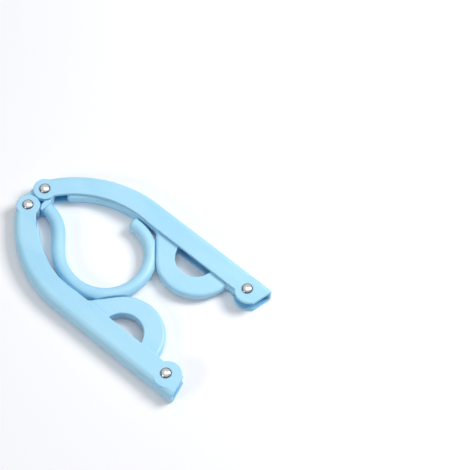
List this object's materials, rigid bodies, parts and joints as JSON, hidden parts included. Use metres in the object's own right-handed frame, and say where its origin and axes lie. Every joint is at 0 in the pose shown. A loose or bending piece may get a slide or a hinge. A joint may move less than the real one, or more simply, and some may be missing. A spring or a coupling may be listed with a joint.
{
  "type": "folding travel hanger",
  "caption": "Folding travel clothes hanger: channel arms swing from a hub with an open round hook, and shoulder bars with U-shaped strap dips nest in the arms. Shown folded flat.",
  "frame": {"origin": "bottom centre of the bounding box of the folded hanger, on the plane of its back face", "axes": "+X from the hub to the free ends of the folded arms, +Y towards the left arm as seen from the front with the hook up, +Z out of the front, the side with the domed rivet heads"},
  "size_m": [0.1314, 0.0784, 0.0105],
  "materials": {
    "blue_plastic": "satin moulded polypropylene, pale blue",
    "rivet_metal": "bright nickel-plated steel"
  },
  "bodies": {
    "hub": {"hub_hook": "blue_plastic", "left_hub_rivet": "rivet_metal", "right_hub_rivet": "rivet_metal"},
    "left_arm": {"left_arm": "blue_plastic", "left_end_rivet": "rivet_metal"},
    "right_arm": {"right_arm": "blue_plastic", "right_end_rivet": "rivet_metal"},
    "left_bar": {"left_bar": "blue_plastic"},
    "right_bar": {"right_bar": "blue_plastic"}
  },
  "joints": [
    {"name": "left_arm_swing", "type": "hinge", "parent": "hub", "child": "left_arm", "pos_m": [-0.05968, 0.0063, 0.0045], "axis": [0, 0, 1], "range_deg": [0, 105]},
    {"name": "right_arm_swing", "type": "hinge", "parent": "hub", "child": "right_arm", "pos_m": [-0.05968, -0.0063, 0.0045], "axis": [0, 0, -1], "range_deg": [0, 105]},
    {"name": "left_bar_swing", "type": "hinge", "parent": "left_arm", "child": "left_bar", "pos_m": [0.05573, 0.0309, 0.0045], "axis": [0, 0, 1], "range_deg": [0, 180]},
    {"name": "right_bar_swing", "type": "hinge", "parent": "right_arm", "child": "right_bar", "pos_m": [0.05573, -0.0309, 0.0045], "axis": [0, 0, -1], "range_deg": [0, 180]}
  ],
  "couplings": [
    {"joint": "left_bar_swing", "follows": "left_arm_swing", "ratio": 0.18},
    {"joint": "right_bar_swing", "follows": "right_arm_swing", "ratio": 0.18}
  ]
}
